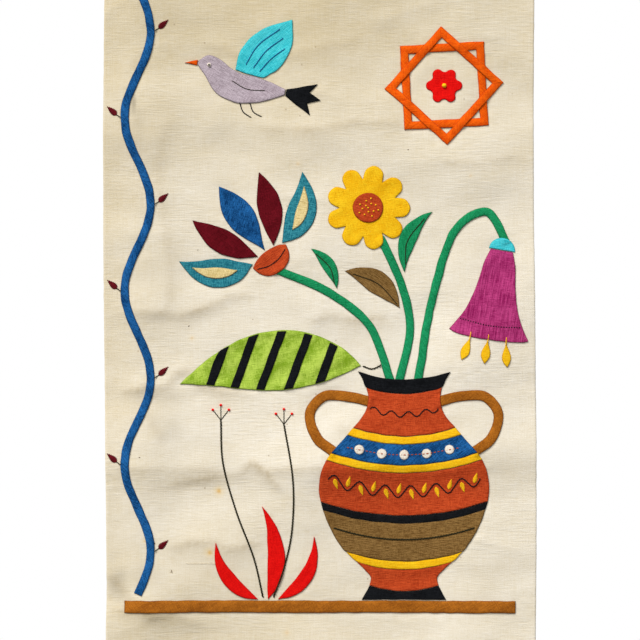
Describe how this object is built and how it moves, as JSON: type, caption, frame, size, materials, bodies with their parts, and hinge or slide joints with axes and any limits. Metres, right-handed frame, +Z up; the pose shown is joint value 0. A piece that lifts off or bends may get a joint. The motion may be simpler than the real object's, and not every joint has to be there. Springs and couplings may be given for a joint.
{
  "type": "applique wall hanging",
  "caption": "Upright cream canvas hanging with hemmed edges and hand-sewn cotton patches and tapes: a banded vase of flowers, a bird, a tape star and a wavy vine.",
  "frame": {"origin": "middle of the top edge, on the flat plane behind the cloth that the wall would be", "axes": "+Z up, -Y out of the wall towards the viewer, X along the top edge"},
  "size_m": [0.4332, 0.0125, 0.7415],
  "materials": {
    "canvas": "plain-woven unbleached cotton canvas, matt, slightly slubbed",
    "terracotta": "plain-woven cotton, matt",
    "yellow": "plain-woven cotton, matt",
    "blue": "plain-woven cotton, matt",
    "white": "plain-woven cotton, matt",
    "black": "plain-woven cotton, matt",
    "olive": "plain-woven cotton, matt",
    "ochre": "plain-woven cotton, matt",
    "green": "plain-woven cotton, matt",
    "lime": "plain-woven cotton, matt",
    "teal": "plain-woven cotton, matt",
    "burgundy": "plain-woven cotton, matt",
    "cream": "plain-woven cotton, matt",
    "magenta": "plain-woven cotton, matt",
    "orange": "plain-woven cotton, matt",
    "lilac": "cotton sateen with a faint thread sheen",
    "turquoise": "plain-woven cotton, matt",
    "red": "plain-woven cotton, matt"
  },
  "bodies": {
    "root": {"bell": "magenta", "bell_cap": "turquoise", "bird_beak": "orange", "bird_body": "lilac", "bird_tail": "black", "bird_wing": "turquoise", "daisy": "yellow", "daisy_centre": "terracotta", "ground": "canvas", "inlay_outer_left": "cream", "inlay_outer_right": "cream", "leaf_left": "green", "leaf_middle": "olive", "leaf_upper": "green", "lime_leaf": "lime", "lime_vein_1": "black", "lime_vein_2": "black", "lime_vein_3": "black", "lime_vein_4": "black", "lime_vein_5": "black", "palmette_calyx": "terracotta", "petal_centre": "blue", "petal_inner_left": "burgundy", "petal_inner_right": "burgundy", "petal_outer_left": "teal", "petal_outer_right": "teal", "shelf": "ochre", "stamen_left": "yellow", "stamen_middle": "yellow", "stamen_right": "yellow", "star_frame_over": "orange", "star_frame_under": "orange", "star_rosette": "red", "stem_left": "green", "stem_middle": "green", "stem_right": "green", "tuft_left": "red", "tuft_middle": "red", "tuft_right": "red", "vase_base": "terracotta", "vase_belly": "olive", "vase_body": "terracotta", "vase_collar": "blue", "vase_collar_high": "yellow", "vase_collar_low": "yellow", "vase_disc_1": "white", "vase_disc_2": "white", "vase_disc_3": "white", "vase_disc_4": "white", "vase_disc_5": "white", "vase_foot": "black", "vase_handle_left": "ochre", "vase_handle_right": "ochre", "vase_low_band": "yellow", "vase_neck": "terracotta", "vase_rim": "black", "vase_waist_band": "black", "vine": "blue"}
  },
  "joints": []
}
